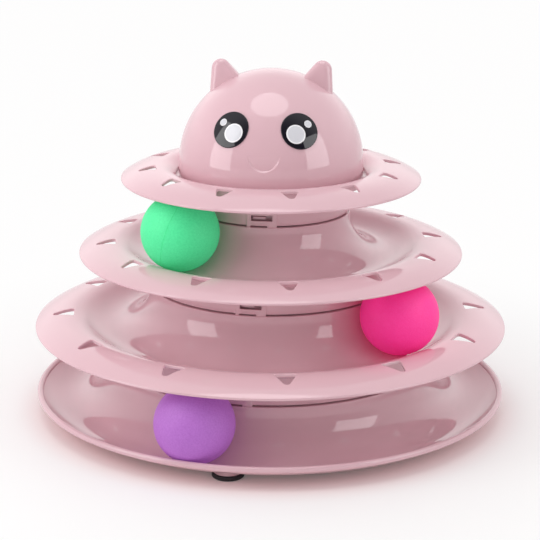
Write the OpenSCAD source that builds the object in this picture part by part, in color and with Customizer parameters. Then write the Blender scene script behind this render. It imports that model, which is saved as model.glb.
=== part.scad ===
// Cat ball track toy: a tower of round tracks, one on the other, with a loose ball in each
// track and a domed cat head on top. Millimetres, +Z up, the origin on the ground under the
// axis of the tower. The front of the toy looks along -Y. An azimuth is an angle round the
// tower, from the front towards +X. Left and right are those of someone who faces the toy.

/* [Balls] */
// Diameter of each ball
ball_d = 40; // [38:0.5:41]
// Thickness of the ball's shell
ball_wall = 2; // [1.6:0.1:2.6]
// How far the joining lip of one half reaches into the other
ball_lip_h = 1.6; // [1:0.1:2.4]
// Clearance between a ball and the floor of its track
ball_gap = 0.3; // [0.3:0.05:0.6]
// How much larger the round groove of a track is than the ball, in radius
groove_play = 1.4; // [1:0.1:1.8]
// Azimuth of the ball in the base tray
purple_azimuth = -20; // [-90:1:90]
// Azimuth of the ball in the lower tray
pink_azimuth = 50; // [-90:1:90]
// Azimuth of the ball in the upper tray
green_azimuth = -46.5; // [-90:0.5:90]
// Azimuth that the pole of the purple ball's front half faces
purple_seam_azimuth = 3; // [-90:1:90]
// Angle of that pole above level
purple_seam_rise = 21; // [-60:1:60]
// Azimuth that the pole of the pink ball's front half faces
pink_seam_azimuth = -4; // [-90:1:90]
// Angle of that pole above level
pink_seam_rise = 18; // [-60:1:60]
// Azimuth that the pole of the green ball's right half faces
green_seam_azimuth = 68; // [0:1:90]
// Angle of that pole above level
green_seam_rise = -15.6; // [-60:0.2:60]

/* [Tower] */
// Radius of the ring that the ball follows in the base tray
track_r = 107; // [104:0.5:110]
// How much smaller each track ring is than the one below it
track_step = 22; // [21:0.5:23]
// Thickness of the moulded trays
wall = 1.6; // [1.4:0.1:2]
// Height of the base tray's track above the ground
dish_floor_h = 5.3; // [5:0.1:8]
// Height of the straight top of the base tray's hub above its ball groove
hub_rise = 1.8; // [0.6:0.1:3]
// Height of the straight top of the other columns above their ball grooves
column_rise = 0.7; // [0.4:0.1:3]
// Height from a column's shoulder to the track of the tray that sits on it
collar_h = 17.9; // [17:0.1:21]
// Turn of the lower tray
lower_yaw = 4; // [-15:1:15]
// Turn of the upper tray
upper_yaw = 6; // [-15:1:15]
// Turn of the top brim
top_yaw = 8.4; // [-15:0.2:15]
// Turn of the head
head_yaw = -4.7; // [-15:0.1:15]

/* [Rims and brims] */
// Reach of the base tray's rim beyond its track ring
dish_reach = 18; // [16:0.5:20]
// Height of the middle of the base tray's rolled rim above its track
dish_rim_h = 5.7; // [5:0.1:7]
// Radius of the rolled bead on the base tray's rim
bead_r = 1.6; // [1.4:0.1:2]
// Reach of the lower tray's crest beyond its track ring
lower_crest_reach = 21; // [19:0.5:23]
// Height of the lower tray's crest above its track
lower_crest_h = 6.5; // [5:0.1:7]
// Reach of the upper tray's crest beyond its track ring
upper_crest_reach = 19.1; // [18:0.1:21]
// Height of the upper tray's crest above its track
upper_crest_h = 5.8; // [5:0.1:6.5]
// Width of the trays' brims from the crest out to the rim
brim_w = 19; // [17:0.5:21]
// Drop of the trays' brims from the crest to the rim
brim_drop = 5; // [4.5:0.1:6]

/* [Paw slots] */
// Number of slots round each brim
slot_count = 12; // [8:4:12]
// Distance from a slot's tip to the rim
slot_margin = 9.3; // [7:0.1:11]
// Length of a slot in the lower tray, from its wide side out to its tip
lower_slot_l = 11; // [8:0.1:12]
// Width of the wide side of a slot in the lower tray
lower_slot_w = 11; // [8:0.1:12]
// Length of a slot in the upper tray
upper_slot_l = 9.8; // [8:0.1:12]
// Width of a slot in the upper tray
upper_slot_w = 9.8; // [8:0.1:12]
// Length of a slot in the top brim
top_slot_l = 8.8; // [7:0.1:10]
// Width of a slot in the top brim
top_slot_w = 8.8; // [7:0.1:10]
// Radius of a slot's rounded tip
slot_tip_r = 2; // [1.5:0.1:2.4]
// Radius of a slot's two wide corners
slot_corner_r = 0.9; // [0.5:0.1:1.2]

/* [Twist locks] */
// Number of lugs round each joint
lug_count = 4; // [3:1:4]
// Width of a lug
lug_w = 6.6; // [6:0.2:8]
// Height of a lug
lug_h = 1.4; // [1:0.1:2]
// Clearance above a lug in its window
lug_headroom = 1; // [0.5:0.1:1.2]
// How far a lug stands out from its neck
lug_out = 1.7; // [1.2:0.1:1.9]
// Height of a lug above the shoulder that its neck stands on
lug_rise = 3.8; // [3.4:0.1:5]
// Height of a neck above its shoulder
neck_h = 9.5; // [9:0.1:11]
// Running gap between a neck and the collar round it
neck_gap = 0.3; // [0.3:0.05:0.5]
// Clearance under a lug and beside it in its window
lug_play = 0.5; // [0.4:0.05:0.6]
// How much larger the hidden slot is than the window on every side
slot_step = 0.2; // [0.1:0.05:0.3]
// Clearance round a lug on its way up into the slot
entry_play = 0.3; // [0.2:0.05:0.35]
// Angle of the twist from locked to free
twist = 20; // [18:1:24]
// Thickness of a collar
collar_wall = 3; // [2.8:0.1:3.4]
// How far a collar is set back from the column below it
collar_inset = 0.6; // [0.4:0.1:1]
// Shadow gap between a collar and the shoulder below it
seam_gap = 0.9; // [0.6:0.1:1.4]
// Width of the window that shows a lug
window_w = 11; // [10:0.1:12]
// Width of the raised tab round a window
tab_w = 15.6; // [14:0.2:18]
// How far a tab stands out from its collar
tab_out = 0.4; // [0.2:0.05:0.5]
// Width of the notch in the foot of a tab, under its lug
notch_w = 8.6; // [7:0.2:9]

/* [Top brim] */
// Height of the top brim's crest above the shoulder below it
top_crest_h = 23.8; // [22.5:0.1:26]
// Width of the top brim from its crest out to its rim
top_brim_w = 20.5; // [18:0.5:23]
// Drop of the top brim from its crest to its rim
top_brim_drop = 5.8; // [5:0.1:7]
// Depth of the well that the head sits in, below the crest
well_depth = 5.8; // [5.4:0.1:7]
// Gap between the head and the wall of its well
well_gap = 1.6; // [1:0.1:2]
// Least clearance between the well and a ball that rolls beside it
well_play = 1; // [0.5:0.1:1.8]
// Height of the lip of the well above its floor
lip_h = 1.9; // [1:0.1:2.2]
// Rounding of the crest on the side of the well
lip_round = 10; // [8:0.5:12]
// Slope of the brim down into the well
lip_slope = 40; // [36:1:44]

/* [Head] */
// Radius of the head's dome
head_r = 48.2; // [46:0.1:49]
// Height of the straight band under the dome
band_h = 7.7; // [7.4:0.1:10]
// Thickness of the dome
head_wall = 2.4; // [2:0.1:2.8]
// Thickness of the straight band, which holds the twist lock
band_wall = 3; // [2.8:0.1:3.4]
// Distance of an ear's tip from the middle of the head
ear_tip_x = 26.2; // [24:0.1:28]
// Height of the middle of an ear's round tip above the centre of the dome
ear_tip_h = 48.2; // [46:0.1:50]
// Radius of an ear's round tip, seen from the front
ear_tip_r = 4.9; // [4:0.1:5.5]
// Half of the thickness of an ear's tip
ear_tip_t = 3.4; // [2.6:0.1:4]
// Half of the thickness of an ear's root
ear_root_t = 6.2; // [5:0.1:7]
// Radius of the corners of an ear's root
ear_root_r = 3; // [2.5:0.1:3.5]
// Distance of the inner corner of an ear's root from the middle of the head
ear_inner_x = 15.2; // [14:0.1:17]
// Height of the inner corner of an ear's root above the centre of the dome
ear_inner_h = 38.6; // [37:0.1:40]
// Distance of the outer corner of an ear's root from the middle of the head
ear_outer_x = 29.2; // [28:0.1:30]
// Height of the outer corner of an ear's root above the centre of the dome
ear_outer_h = 29.8; // [28:0.1:31]
// Angle between the eyes' middles and the middle of the face
eye_azimuth = 24.4; // [22:0.1:27]
// Angle of the eyes above the dome's edge
eye_rise = 29.7; // [26:0.1:33]
// Radius of an eye sticker
eye_r = 9.6; // [8.5:0.1:10.5]
// Thickness of an eye sticker
eye_t = 0.6; // [0.4:0.05:0.8]
// Thickness of the white print on the eyes
print_t = 0.15; // [0.1:0.01:0.2]
// Angle of an eye's large spot from the middle of the face
large_spot_azimuth = 21.2; // [19:0.1:23]
// Angle of an eye's large spot above the dome's edge
large_spot_rise = 27.5; // [26:0.1:29]
// Radius of an eye's large spot
large_spot_r = 4.95; // [4:0.05:5.2]
// Angle of an eye's small spot from the middle of the face
small_spot_azimuth = 31.2; // [30:0.1:32]
// Angle of an eye's small spot above the dome's edge
small_spot_rise = 33.2; // [32:0.1:34]
// Radius of an eye's small spot
small_spot_r = 1.95; // [1.5:0.05:2]
// Radius of the smiling mouth
smile_r = 7.8; // [6.5:0.1:9]
// Depth of the mouth at its lowest point: it runs out to nothing at its upper edge
smile_depth = 0.8; // [0.5:0.05:1.2]
// Angle of the mouth's upper edge above the dome's edge
smile_rise = 14.8; // [13:0.1:16]

/* [Feet] */
// How far the middle of a foot lies inside the ring of the base tray's track
foot_inset = 1; // [-1:0.5:3]
// Diameter of a rubber foot
foot_d = 16; // [14:0.5:18]
// Height of a rubber foot
foot_h = 2.4; // [2:0.1:3]
// Chamfer round a rubber foot's tread
foot_chamfer = 0.5; // [0.3:0.1:0.8]
// Diameter of the boss that a foot is glued to
boss_d = 14.2; // [12:0.2:15]

/* [Hidden] */

// Points along each large arc of a section, points along each small arc, and facets of the ears
arc_steps = 14;
corner_steps = 5;
ear_facets = 32;
$fn = 96;

foot_count = 4;
// How far a cut runs past the surface that it opens
overrun = 1;
// Gap of the glue line under the eye stickers
glue_gap = 0.05;
// Clearance round the joining lip of a ball
lip_play = 0.05;

pink_plastic = [0.87, 0.69, 0.72];
purple = [0.65, 0.35, 0.76];
magenta = [0.94, 0.24, 0.6];
green = [0.35, 0.82, 0.52];
eye_black = [0.09, 0.08, 0.1];
print_white = [0.93, 0.93, 0.94];
rubber_black = [0.08, 0.08, 0.09];

// Tiers from the ground up: 0 is the base tray, 1 the lower tray, 2 the upper tray, 3 the top brim
yaws = [0, lower_yaw, upper_yaw, top_yaw];
ball_r = ball_d / 2;
groove_r = ball_r + groove_play;
slot_pitch = 360 / slot_count;
lug_pitch = 360 / lug_count;
// Heights of a window's sill and top above the shoulder
window_low = lug_rise - lug_play;
window_high = lug_rise + lug_h + lug_headroom;

function ring_r(k) = track_r - k * track_step;
function column_r(k) = ring_r(k) - groove_r;
function floor_z(k) = k == 0 ? dish_floor_h : shoulder_z(k - 1) + collar_h;
function shoulder_z(k) = floor_z(k) + groove_r + (k == 0 ? hub_rise : column_rise);
function collar_out_r(k) = column_r(k - 1) - collar_inset;
function collar_in_r(k) = collar_out_r(k) - collar_wall;
function neck_r(k) = collar_in_r(k + 1) - neck_gap;

// Angle that a width takes up at a radius
function spread(w, r) = w / r * 180 / PI;

// Azimuth of the middle of a window in the collar of tier k, midway between two slots
function window_azimuth(k) = yaws[k] - slot_pitch / 2;

// Azimuth of the lug in that window, against the window's left edge
function lug_azimuth(k) =
    window_azimuth(k) - spread(window_w / 2, collar_out_r(k) + tab_out)
        + spread(lug_w / 2 + lug_play, neck_r(k - 1) + lug_out);

// Points on an arc, from angle a to angle b
function arc(centre, r, a, b, steps = arc_steps) =
    [for (i = [0 : steps]) let (t = a + (b - a) * i / steps) centre + r * [cos(t), sin(t)]];

// Radius of the arc that starts level and falls by drop over width
function fall_r(width, drop) = (width * width + drop * drop) / (2 * drop);

// A piece of a ring that takes up turn degrees, with its middle at azimuth az
module ring_piece(r_in, r_out, z_low, z_high, az, turn) {
    rotate([0, 0, az - 90 - turn / 2])
        rotate_extrude(angle = turn)
            translate([r_in, z_low])
                square([r_out - r_in, z_high - z_low]);
}

module tube(r_in, r_out, z_low, z_high) {
    translate([0, 0, z_low])
        difference() {
            cylinder(r = r_out, h = z_high - z_low);
            translate([0, 0, -overrun])
                cylinder(r = r_in, h = z_high - z_low + 2 * overrun);
        }
}

// The neck above a shoulder at height z, with its lugs
module neck(r, z, first_lug) {
    tube(r - wall, r, z - wall / 2, z + neck_h);
    for (i = [0 : lug_count - 1])
        ring_piece(r - wall / 2, r + lug_out, z + lug_rise, z + lug_rise + lug_h,
            first_lug + i * lug_pitch, spread(lug_w, r + lug_out));
}

// The cuts in a bore of radius r_in over a shoulder at height z: each lug has a slot to twist
// along, which is open to below at its end
module lug_slots(r_in, z, first_lug) {
    r_lug = r_in - neck_gap + lug_out;
    for (i = [0 : lug_count - 1]) {
        az = first_lug + i * lug_pitch;
        ring_piece(r_in - overrun, r_lug + lug_play,
            z + window_low - slot_step, z + window_high + slot_step,
            az + twist / 2, spread(lug_w + 2 * (lug_play + slot_step), r_lug) + twist);
        ring_piece(r_in - 2 * overrun, r_lug + entry_play, z - overrun, z + lug_rise,
            az + twist, spread(lug_w + 2 * entry_play, r_lug));
    }
}

// The collar of tier k, up to z_top: it stands on the shoulder below it by its tabs
module collar(k, z_top) {
    z = shoulder_z(k - 1);
    r_tab = collar_out_r(k) + tab_out;
    rotate([0, 0, window_azimuth(k) - lug_pitch / 2])
        tube(collar_in_r(k), collar_out_r(k), z + seam_gap, z_top);
    for (i = [0 : lug_count - 1])
        ring_piece(collar_in_r(k) + collar_wall / 2, r_tab, z, z_top,
            window_azimuth(k) + i * lug_pitch, spread(tab_w, r_tab));
}

// The slots and windows of that collar, and the notches under its tabs
module collar_cuts(k) {
    z = shoulder_z(k - 1);
    r_tab = collar_out_r(k) + tab_out;
    lug_slots(collar_in_r(k), z, lug_azimuth(k));
    for (i = [0 : lug_count - 1]) {
        ring_piece(collar_in_r(k) - 3 * overrun, r_tab + overrun, z + window_low, z + window_high,
            window_azimuth(k) + i * lug_pitch, spread(window_w, r_tab));
        ring_piece(collar_in_r(k) + collar_wall / 2 - slot_step, r_tab + overrun,
            z - overrun, z + seam_gap + slot_step,
            lug_azimuth(k) + i * lug_pitch, spread(notch_w, r_tab));
    }
}

// A rounded triangle: its wide side lies across x = 0, its tip at x = l
module slot_outline(l, w) {
    tip = [l - slot_tip_r, 0];
    corner = [slot_corner_r, w / 2 - slot_corner_r];
    way = tip - corner;
    // The way that the triangle's slanting sides face
    side = atan2(way[1], way[0]) + acos((slot_corner_r - slot_tip_r) / norm(way));
    polygon(concat(
        arc(tip, slot_tip_r, -side, side, corner_steps),
        arc(corner, slot_corner_r, side, 180, corner_steps),
        arc([corner[0], -corner[1]], slot_corner_r, 180, 360 - side, corner_steps)
    ));
}

// The ring of slots through the brim of tier k, between two heights
module slots(k, rim_r, l, w, z_low, z_high) {
    for (i = [0 : slot_count - 1])
        rotate([0, 0, yaws[k] + i * slot_pitch - 90])
            translate([rim_r - slot_margin - l, 0, z_low])
                linear_extrude(height = z_high - z_low)
                    slot_outline(l, w);
}

// An arc of the ball groove of tier k: depth 0 is the upper skin, and depth wall the lower one
function groove(k, from, to, depth) =
    arc([ring_r(k), floor_z(k) + groove_r], groove_r + depth, from, to);

// The shoulder on top of the column of tier k, from the upper skin round to the lower one
function shoulder(k) = [
    [column_r(k), shoulder_z(k)],
    [neck_r(k) - wall, shoulder_z(k)],
    [neck_r(k) - wall, shoulder_z(k) - wall],
    [column_r(k) - wall, shoulder_z(k) - wall],
];

// The brim outside a crest, as the outline of its rounded edge and upper skin, and of its
// lower skin. The middle of the wall follows one arc, which starts level at the crest.
function brim_mid_r(width, drop) = fall_r(width - wall / 2, drop);
function brim_lean(width, drop) = asin((width - wall / 2) / brim_mid_r(width, drop));
function brim_upper(crest, width, drop) =
    let (
        mid_r = brim_mid_r(width, drop),
        lean = brim_lean(width, drop),
        centre = crest - [0, wall / 2 + mid_r],
        edge = centre + mid_r * [sin(lean), cos(lean)]
    )
    concat(
        arc(edge, wall / 2, -90 - lean, 90 - lean, corner_steps),
        arc(centre, mid_r + wall / 2, 90 - lean, 90)
    );
function brim_lower(crest, width, drop) =
    let (mid_r = brim_mid_r(width, drop))
    arc(crest - [0, wall / 2 + mid_r], mid_r - wall / 2, 90, 90 - brim_lean(width, drop));

// The dish that stands on the ground, with its hub and its rolled rim. From the track out to
// the rim, the middle of its wall follows one arc.
module base_tray() {
    bead_x = dish_reach - bead_r;
    rise = dish_rim_h + wall / 2;
    mid_r = fall_r(bead_x, rise);
    lean = asin(bead_x / mid_r) - 90;
    outer_at = [ring_r(0), floor_z(0) - wall / 2 + mid_r];
    color(pink_plastic)
    union() {
        rotate_extrude()
            polygon(concat(
                arc(outer_at, mid_r - wall / 2, lean, -90),
                groove(0, -90, -180, 0),
                shoulder(0),
                groove(0, -180, -90, wall),
                arc(outer_at, mid_r + wall / 2, -90, lean)
            ));
        rotate_extrude()
            translate([ring_r(0) + bead_x, floor_z(0) + dish_rim_h])
                circle(r = bead_r);
        neck(neck_r(0), shoulder_z(0), lug_azimuth(1));
        for (i = [0 : foot_count - 1])
            foot_boss(i);
    }
}

// The feet stand in line with the windows above them
foot_ring_r = track_r - foot_inset;
function foot_azimuth(i) = window_azimuth(1) + i * 360 / foot_count;

// A boss from foot i up into the dish
module foot_boss(i) {
    difference() {
        rotate([0, 0, foot_azimuth(i) - 90])
            translate([foot_ring_r, 0, foot_h])
                cylinder(d = boss_d, h = dish_floor_h + wall);
        translate([0, 0, floor_z(0) + groove_r])
            rotate_extrude()
                translate([ring_r(0), 0])
                    circle(r = groove_r + wall / 2);
    }
}

// A tray with a ball track, a brim round it, a column inside it and a collar under it
module tray(k, crest_reach, crest_h, slot_l, slot_w) {
    crest = [ring_r(k) + crest_reach, floor_z(k) + crest_h];
    inner_r = fall_r(crest_reach, crest_h) - groove_r;
    lean = asin(crest_reach / (groove_r + inner_r));
    inner_at = crest - [0, inner_r];
    color(pink_plastic)
    difference() {
        union() {
            rotate_extrude()
                polygon(concat(
                    brim_upper(crest, brim_w, brim_drop),
                    arc(inner_at, inner_r, 90, 90 + lean),
                    groove(k, lean - 90, -90, 0),
                    groove(k, -90, -180, 0),
                    shoulder(k),
                    groove(k, -180, -90, wall),
                    groove(k, -90, lean - 90, wall),
                    arc(inner_at, inner_r - wall, 90 + lean, 90),
                    brim_lower(crest, brim_w, brim_drop)
                ));
            collar(k, shoulder_z(k - 1) + collar_h - wall / 2);
            neck(neck_r(k), shoulder_z(k), lug_azimuth(k + 1));
        }
        collar_cuts(k);
        slots(k, crest[0] + brim_w, slot_l, slot_w,
            crest[1] - brim_drop - wall - overrun, crest[1] + overrun);
    }
}

module lower_tray() {
    tray(1, lower_crest_reach, lower_crest_h, lower_slot_l, lower_slot_w);
}

module upper_tray() {
    tray(2, upper_crest_reach, upper_crest_h, upper_slot_l, upper_slot_w);
}

// The well for the head covers the collar under it
well_r = max(head_r + well_gap, collar_out_r(3) + tab_out);
// The ball of the upper tray rolls beside the well, or under it where the tower is narrow: the
// well's floor is above the place where the ball comes nearest to it
ball_side = max(0, ring_r(2) - well_r - wall);
ball_side_h = sqrt(max(0, ball_r * ball_r - ball_side * ball_side));
ball_top_z = floor_z(2) + ball_gap + ball_r + ball_side_h;
well_floor_z = max(shoulder_z(2) + top_crest_h - well_depth, ball_top_z + well_play + wall);

// The neck in the well that the head locks on to. The well's floor reaches in under the neck
// and over the collar.
head_neck_r = head_r - band_wall - neck_gap;
head_lug_azimuth = head_yaw + slot_pitch / 2;
well_in_r = min(collar_in_r(3), head_neck_r - wall) - collar_inset;

module top_brim() {
    lip = [well_r, well_floor_z + lip_h];
    // The slope runs straight from the lip up to the rounding of the crest
    rise = well_depth - lip_h - lip_round * (1 - cos(lip_slope));
    crest = [well_r + rise / tan(lip_slope) + lip_round * sin(lip_slope),
        well_floor_z + well_depth];
    round_at = crest - [0, lip_round];
    color(pink_plastic)
    difference() {
        union() {
            rotate_extrude()
                polygon(concat(
                    brim_upper(crest, top_brim_w, top_brim_drop),
                    arc(round_at, lip_round, 90, 90 + lip_slope),
                    [
                        lip,
                        [well_r, well_floor_z],
                        [well_in_r, well_floor_z],
                        [well_in_r, well_floor_z - wall],
                        [well_r + wall, well_floor_z - wall],
                        [well_r + wall, lip[1] - wall * tan(lip_slope / 2)],
                    ],
                    arc(round_at, lip_round - wall, 90 + lip_slope, 90),
                    brim_lower(crest, top_brim_w, top_brim_drop)
                ));
            collar(3, well_floor_z - wall / 2);
            neck(head_neck_r, well_floor_z, head_lug_azimuth);
        }
        collar_cuts(3);
        slots(3, crest[0] + top_brim_w, top_slot_l, top_slot_w,
            crest[1] - top_brim_drop - wall - overrun, crest[1] + overrun);
    }
}

dome_z = well_floor_z + band_h;

// Turns what looks along +X to look out of the face, at an azimuth and an angle above the edge
module on_face(azimuth, rise) {
    translate([0, 0, dome_z])
        rotate([0, 0, head_yaw + azimuth - 90])
            rotate([0, -rise, 0])
                children();
}

// One ear of the head: side is -1 for the left and 1 for the right
module ear(side) {
    translate([0, 0, dome_z])
        rotate([0, 0, head_yaw])
            hull() {
                translate([side * ear_tip_x, 0, ear_tip_h])
                    scale([1, ear_tip_t / ear_tip_r, 1])
                        sphere(r = ear_tip_r, $fn = ear_facets);
                for (root = [[ear_inner_x, ear_inner_h], [ear_outer_x, ear_outer_h]])
                    for (y = [-1, 1] * (ear_root_t - ear_root_r))
                        translate([side * root[0], y, root[1]])
                            sphere(r = ear_root_r, $fn = ear_facets);
            }
}

// A half ball of radius r on top of a straight band of radius band_r that starts at z_low
module dome(r, band_r, z_low) {
    translate([0, 0, dome_z])
        intersection() {
            sphere(r = r);
            translate([-r, -r, 0])
                cube([2 * r, 2 * r, r]);
        }
    translate([0, 0, z_low])
        cylinder(r = band_r, h = dome_z - z_low);
}

// The mouth: its floor is a larger sphere that meets the dome along the mouth's upper edge
module smile() {
    shift = smile_depth * head_r / smile_r;
    difference() {
        on_face(0, smile_rise)
            rotate([0, 90, 0])
                cylinder(r = smile_r, h = head_r + overrun);
        on_face(0, smile_rise)
            translate([0, 0, shift])
                sphere(r = norm([head_r, shift]));
    }
}

module head_dome() {
    color(pink_plastic)
    difference() {
        union() {
            dome(head_r, head_r, well_floor_z);
            ear(-1);
            ear(1);
        }
        dome(head_r - head_wall, head_r - band_wall, well_floor_z - overrun);
        smile();
        lug_slots(head_r - band_wall, well_floor_z, head_lug_azimuth);
    }
}

// A disc cut from a shell that lies on the dome, from radius r_in to radius r_out
module dome_disc(r_in, r_out, azimuth, rise, disc_r) {
    difference() {
        intersection() {
            translate([0, 0, dome_z])
                sphere(r = r_out);
            on_face(azimuth, rise)
                rotate([0, 90, 0])
                    cylinder(r = disc_r, h = r_out + overrun);
        }
        translate([0, 0, dome_z])
            sphere(r = r_in);
    }
}

eye_face_r = head_r + glue_gap + eye_t;

module eye(side) {
    color(eye_black)
        dome_disc(head_r + glue_gap, eye_face_r, side * eye_azimuth, eye_rise, eye_r);
}

module spot(azimuth, rise, r) {
    color(print_white)
        dome_disc(eye_face_r, eye_face_r + print_t, azimuth, rise, r);
}

module left_eye() {
    eye(-1);
}

module left_eye_large_spot() {
    spot(-large_spot_azimuth, large_spot_rise, large_spot_r);
}

module left_eye_small_spot() {
    spot(-small_spot_azimuth, small_spot_rise, small_spot_r);
}

module right_eye() {
    eye(1);
}

module right_eye_large_spot() {
    spot(large_spot_azimuth, large_spot_rise, large_spot_r);
}

module right_eye_small_spot() {
    spot(small_spot_azimuth, small_spot_rise, small_spot_r);
}

// Half of a ball shell, above the plane z = 0
module half_shell() {
    difference() {
        sphere(r = ball_r);
        sphere(r = ball_r - ball_wall);
        translate([-ball_d, -ball_d, -2 * ball_d])
            cube([2 * ball_d, 2 * ball_d, 2 * ball_d]);
    }
}

// The half with the joining lip, and the half that the lip fits into
lip_out_r = ball_r - ball_wall / 2;

module lipped_half() {
    half_shell();
    tube(ball_r - ball_wall, lip_out_r - lip_play, -ball_lip_h, ball_lip_h);
}

module plain_half() {
    difference() {
        rotate([180, 0, 0])
            half_shell();
        translate([0, 0, -ball_lip_h - lip_play])
            cylinder(r = lip_out_r, h = ball_lip_h + lip_play + overrun);
    }
}

// Puts a half at the ball of tier k, with the pole of its upper side turned to a way
module at_ball(k, azimuth, seam_azimuth, seam_rise) {
    translate([ring_r(k) * sin(azimuth), -ring_r(k) * cos(azimuth),
            floor_z(k) + ball_gap + ball_r])
        rotate([0, 90 - seam_rise, seam_azimuth - 90])
            children();
}

module purple_ball_front_half() {
    color(purple)
        at_ball(0, purple_azimuth, purple_seam_azimuth, purple_seam_rise)
            lipped_half();
}

module purple_ball_back_half() {
    color(purple)
        at_ball(0, purple_azimuth, purple_seam_azimuth, purple_seam_rise)
            plain_half();
}

module pink_ball_front_half() {
    color(magenta)
        at_ball(1, pink_azimuth, pink_seam_azimuth, pink_seam_rise)
            lipped_half();
}

module pink_ball_back_half() {
    color(magenta)
        at_ball(1, pink_azimuth, pink_seam_azimuth, pink_seam_rise)
            plain_half();
}

module green_ball_right_half() {
    color(green)
        at_ball(2, green_azimuth, green_seam_azimuth, green_seam_rise)
            lipped_half();
}

module green_ball_left_half() {
    color(green)
        at_ball(2, green_azimuth, green_seam_azimuth, green_seam_rise)
            plain_half();
}

// The rubber foot under boss i, with a chamfered tread
module foot(i) {
    foot_r = foot_d / 2;
    color(rubber_black)
    rotate([0, 0, foot_azimuth(i) - 90])
        translate([foot_ring_r, 0, 0])
            rotate_extrude()
                polygon([
                    [0, 0],
                    [foot_r - foot_chamfer, 0],
                    [foot_r, foot_chamfer],
                    [foot_r, foot_h],
                    [0, foot_h],
                ]);
}

module front_foot() {
    foot(0);
}

module right_foot() {
    foot(1);
}

module back_foot() {
    foot(2);
}

module left_foot() {
    foot(3);
}

base_tray();
lower_tray();
upper_tray();
top_brim();
head_dome();
left_eye();
left_eye_large_spot();
left_eye_small_spot();
right_eye();
right_eye_large_spot();
right_eye_small_spot();
purple_ball_front_half();
purple_ball_back_half();
pink_ball_front_half();
pink_ball_back_half();
green_ball_left_half();
green_ball_right_half();
front_foot();
right_foot();
back_foot();
left_foot();
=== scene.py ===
# %% [markdown]
# A cat ball track toy: three round trays, one above the other, a brim on top with a domed cat
# head in it, and a loose ball in each tray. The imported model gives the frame: its bodies and
# joints move the toy. Here every visible piece is worked out again as a fine, smooth surface,
# because the toy is glossy and a gloss shows each flat facet. All sizes are in millimetres, as
# on a drawing, and become metres when a mesh is made.

import math

import bmesh
import bpy
import numpy as np
from mathutils import Matrix, Vector


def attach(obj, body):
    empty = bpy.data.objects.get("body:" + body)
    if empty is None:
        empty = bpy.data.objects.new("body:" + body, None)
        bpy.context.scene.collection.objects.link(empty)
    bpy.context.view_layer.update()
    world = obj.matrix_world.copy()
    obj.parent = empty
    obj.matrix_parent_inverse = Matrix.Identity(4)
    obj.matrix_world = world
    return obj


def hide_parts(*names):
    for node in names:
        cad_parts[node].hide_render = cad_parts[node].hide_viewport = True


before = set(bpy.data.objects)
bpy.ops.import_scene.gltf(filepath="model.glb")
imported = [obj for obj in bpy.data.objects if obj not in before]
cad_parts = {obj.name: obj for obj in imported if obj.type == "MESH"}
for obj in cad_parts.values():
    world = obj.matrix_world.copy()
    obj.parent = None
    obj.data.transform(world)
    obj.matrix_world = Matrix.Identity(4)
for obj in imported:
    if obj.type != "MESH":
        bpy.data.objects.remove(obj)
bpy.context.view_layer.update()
scene = bpy.context.scene

# %% [markdown]
# The camera comes first, so that each later piece can be looked at in place. A product picture
# is taken from far away with a long lens, which keeps the rims' ellipses alike. The height,
# tilt and lens were worked out from the ellipses of the four rims.

# %% Camera
camera_back, camera_height = 0.905, 0.3365
camera_tilt, camera_roll = math.radians(16.15), math.radians(0.31)
sensor_width, lens_length = 36, 117.93
pixels_across, pixels_aside = 540, -0.6

camera_data = bpy.data.cameras.new("camera")
camera_data.sensor_width = sensor_width
camera_data.lens = lens_length
camera_data.shift_x = pixels_aside / pixels_across
camera = bpy.data.objects.new("camera", camera_data)
camera.matrix_world = (
    Matrix.Translation((0, -camera_back, camera_height))
    @ Matrix.Rotation(math.pi / 2 - camera_tilt, 4, "X")
    @ Matrix.Rotation(camera_roll, 4, "Z")
)
scene.collection.objects.link(camera)
scene.camera = camera
print(f"camera {camera_back} m back and {camera_height} m up, with a lens of {lens_length} mm")

# %% [markdown]
# The measures of the toy. A tier is a tray: 0 stands on the ground, 1 and 2 sit above it, and
# 3 is the top brim. Every ball runs on a ring, and each ring is smaller than the one below.
# Each column ends in a shoulder and a thinner neck with lugs, and the collar of the piece above
# slips over that neck and locks on the lugs. Yaws are the turns of the tiers, in degrees.

# %% Measures
metre = 1000
ball_r, ball_wall, ball_gap = 20.0, 2.0, 0.3
groove_r = 21.4
wall = 1.6
track_step, first_ring = 22.0, 107.0
floor_0, hub_rise, column_rise, collar_h = 5.3, 1.8, 0.7, 17.9
collar_inset, collar_wall, neck_gap = 0.6, 3.0, 0.3
yaws = [0.0, 4.0, 6.0, 8.4]
head_yaw = -4.7
slot_count = 12
lug_count = 4
lug_w, lug_h, lug_out, lug_rise = 6.6, 1.4, 1.7, 3.8
lug_play, lug_headroom, slot_step, entry_play = 0.5, 1.0, 0.2, 0.3
twist = 20.0
seam_gap, neck_h = 0.9, 9.5
window_w, tab_w, tab_out, notch_w = 11.0, 15.6, 0.4, 8.6


def ring_r(k):
    return first_ring - k * track_step


def column_r(k):
    return ring_r(k) - groove_r


floors, shoulders = [floor_0], [floor_0 + groove_r + hub_rise]
for k in (1, 2):
    floors.append(shoulders[-1] + collar_h)
    shoulders.append(floors[-1] + groove_r + column_rise)


def collar_in_r(k):
    return column_r(k - 1) - collar_inset - collar_wall


def spread(width, r):
    """The angle in degrees that a width takes up at a radius."""
    return math.degrees(width / r)


def window_azimuth(k):
    return yaws[k] - 180 / slot_count


def lug_azimuth(k):
    """The lug stands a small gap away from the left edge of its window."""
    r_out = collar_in_r(k) + collar_wall + tab_out
    r_lug = collar_in_r(k) - neck_gap + lug_out
    return window_azimuth(k) - spread(window_w / 2, r_out) + spread(lug_w / 2 + lug_play, r_lug)


print("track floors", floors, "shoulders", shoulders)

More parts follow.
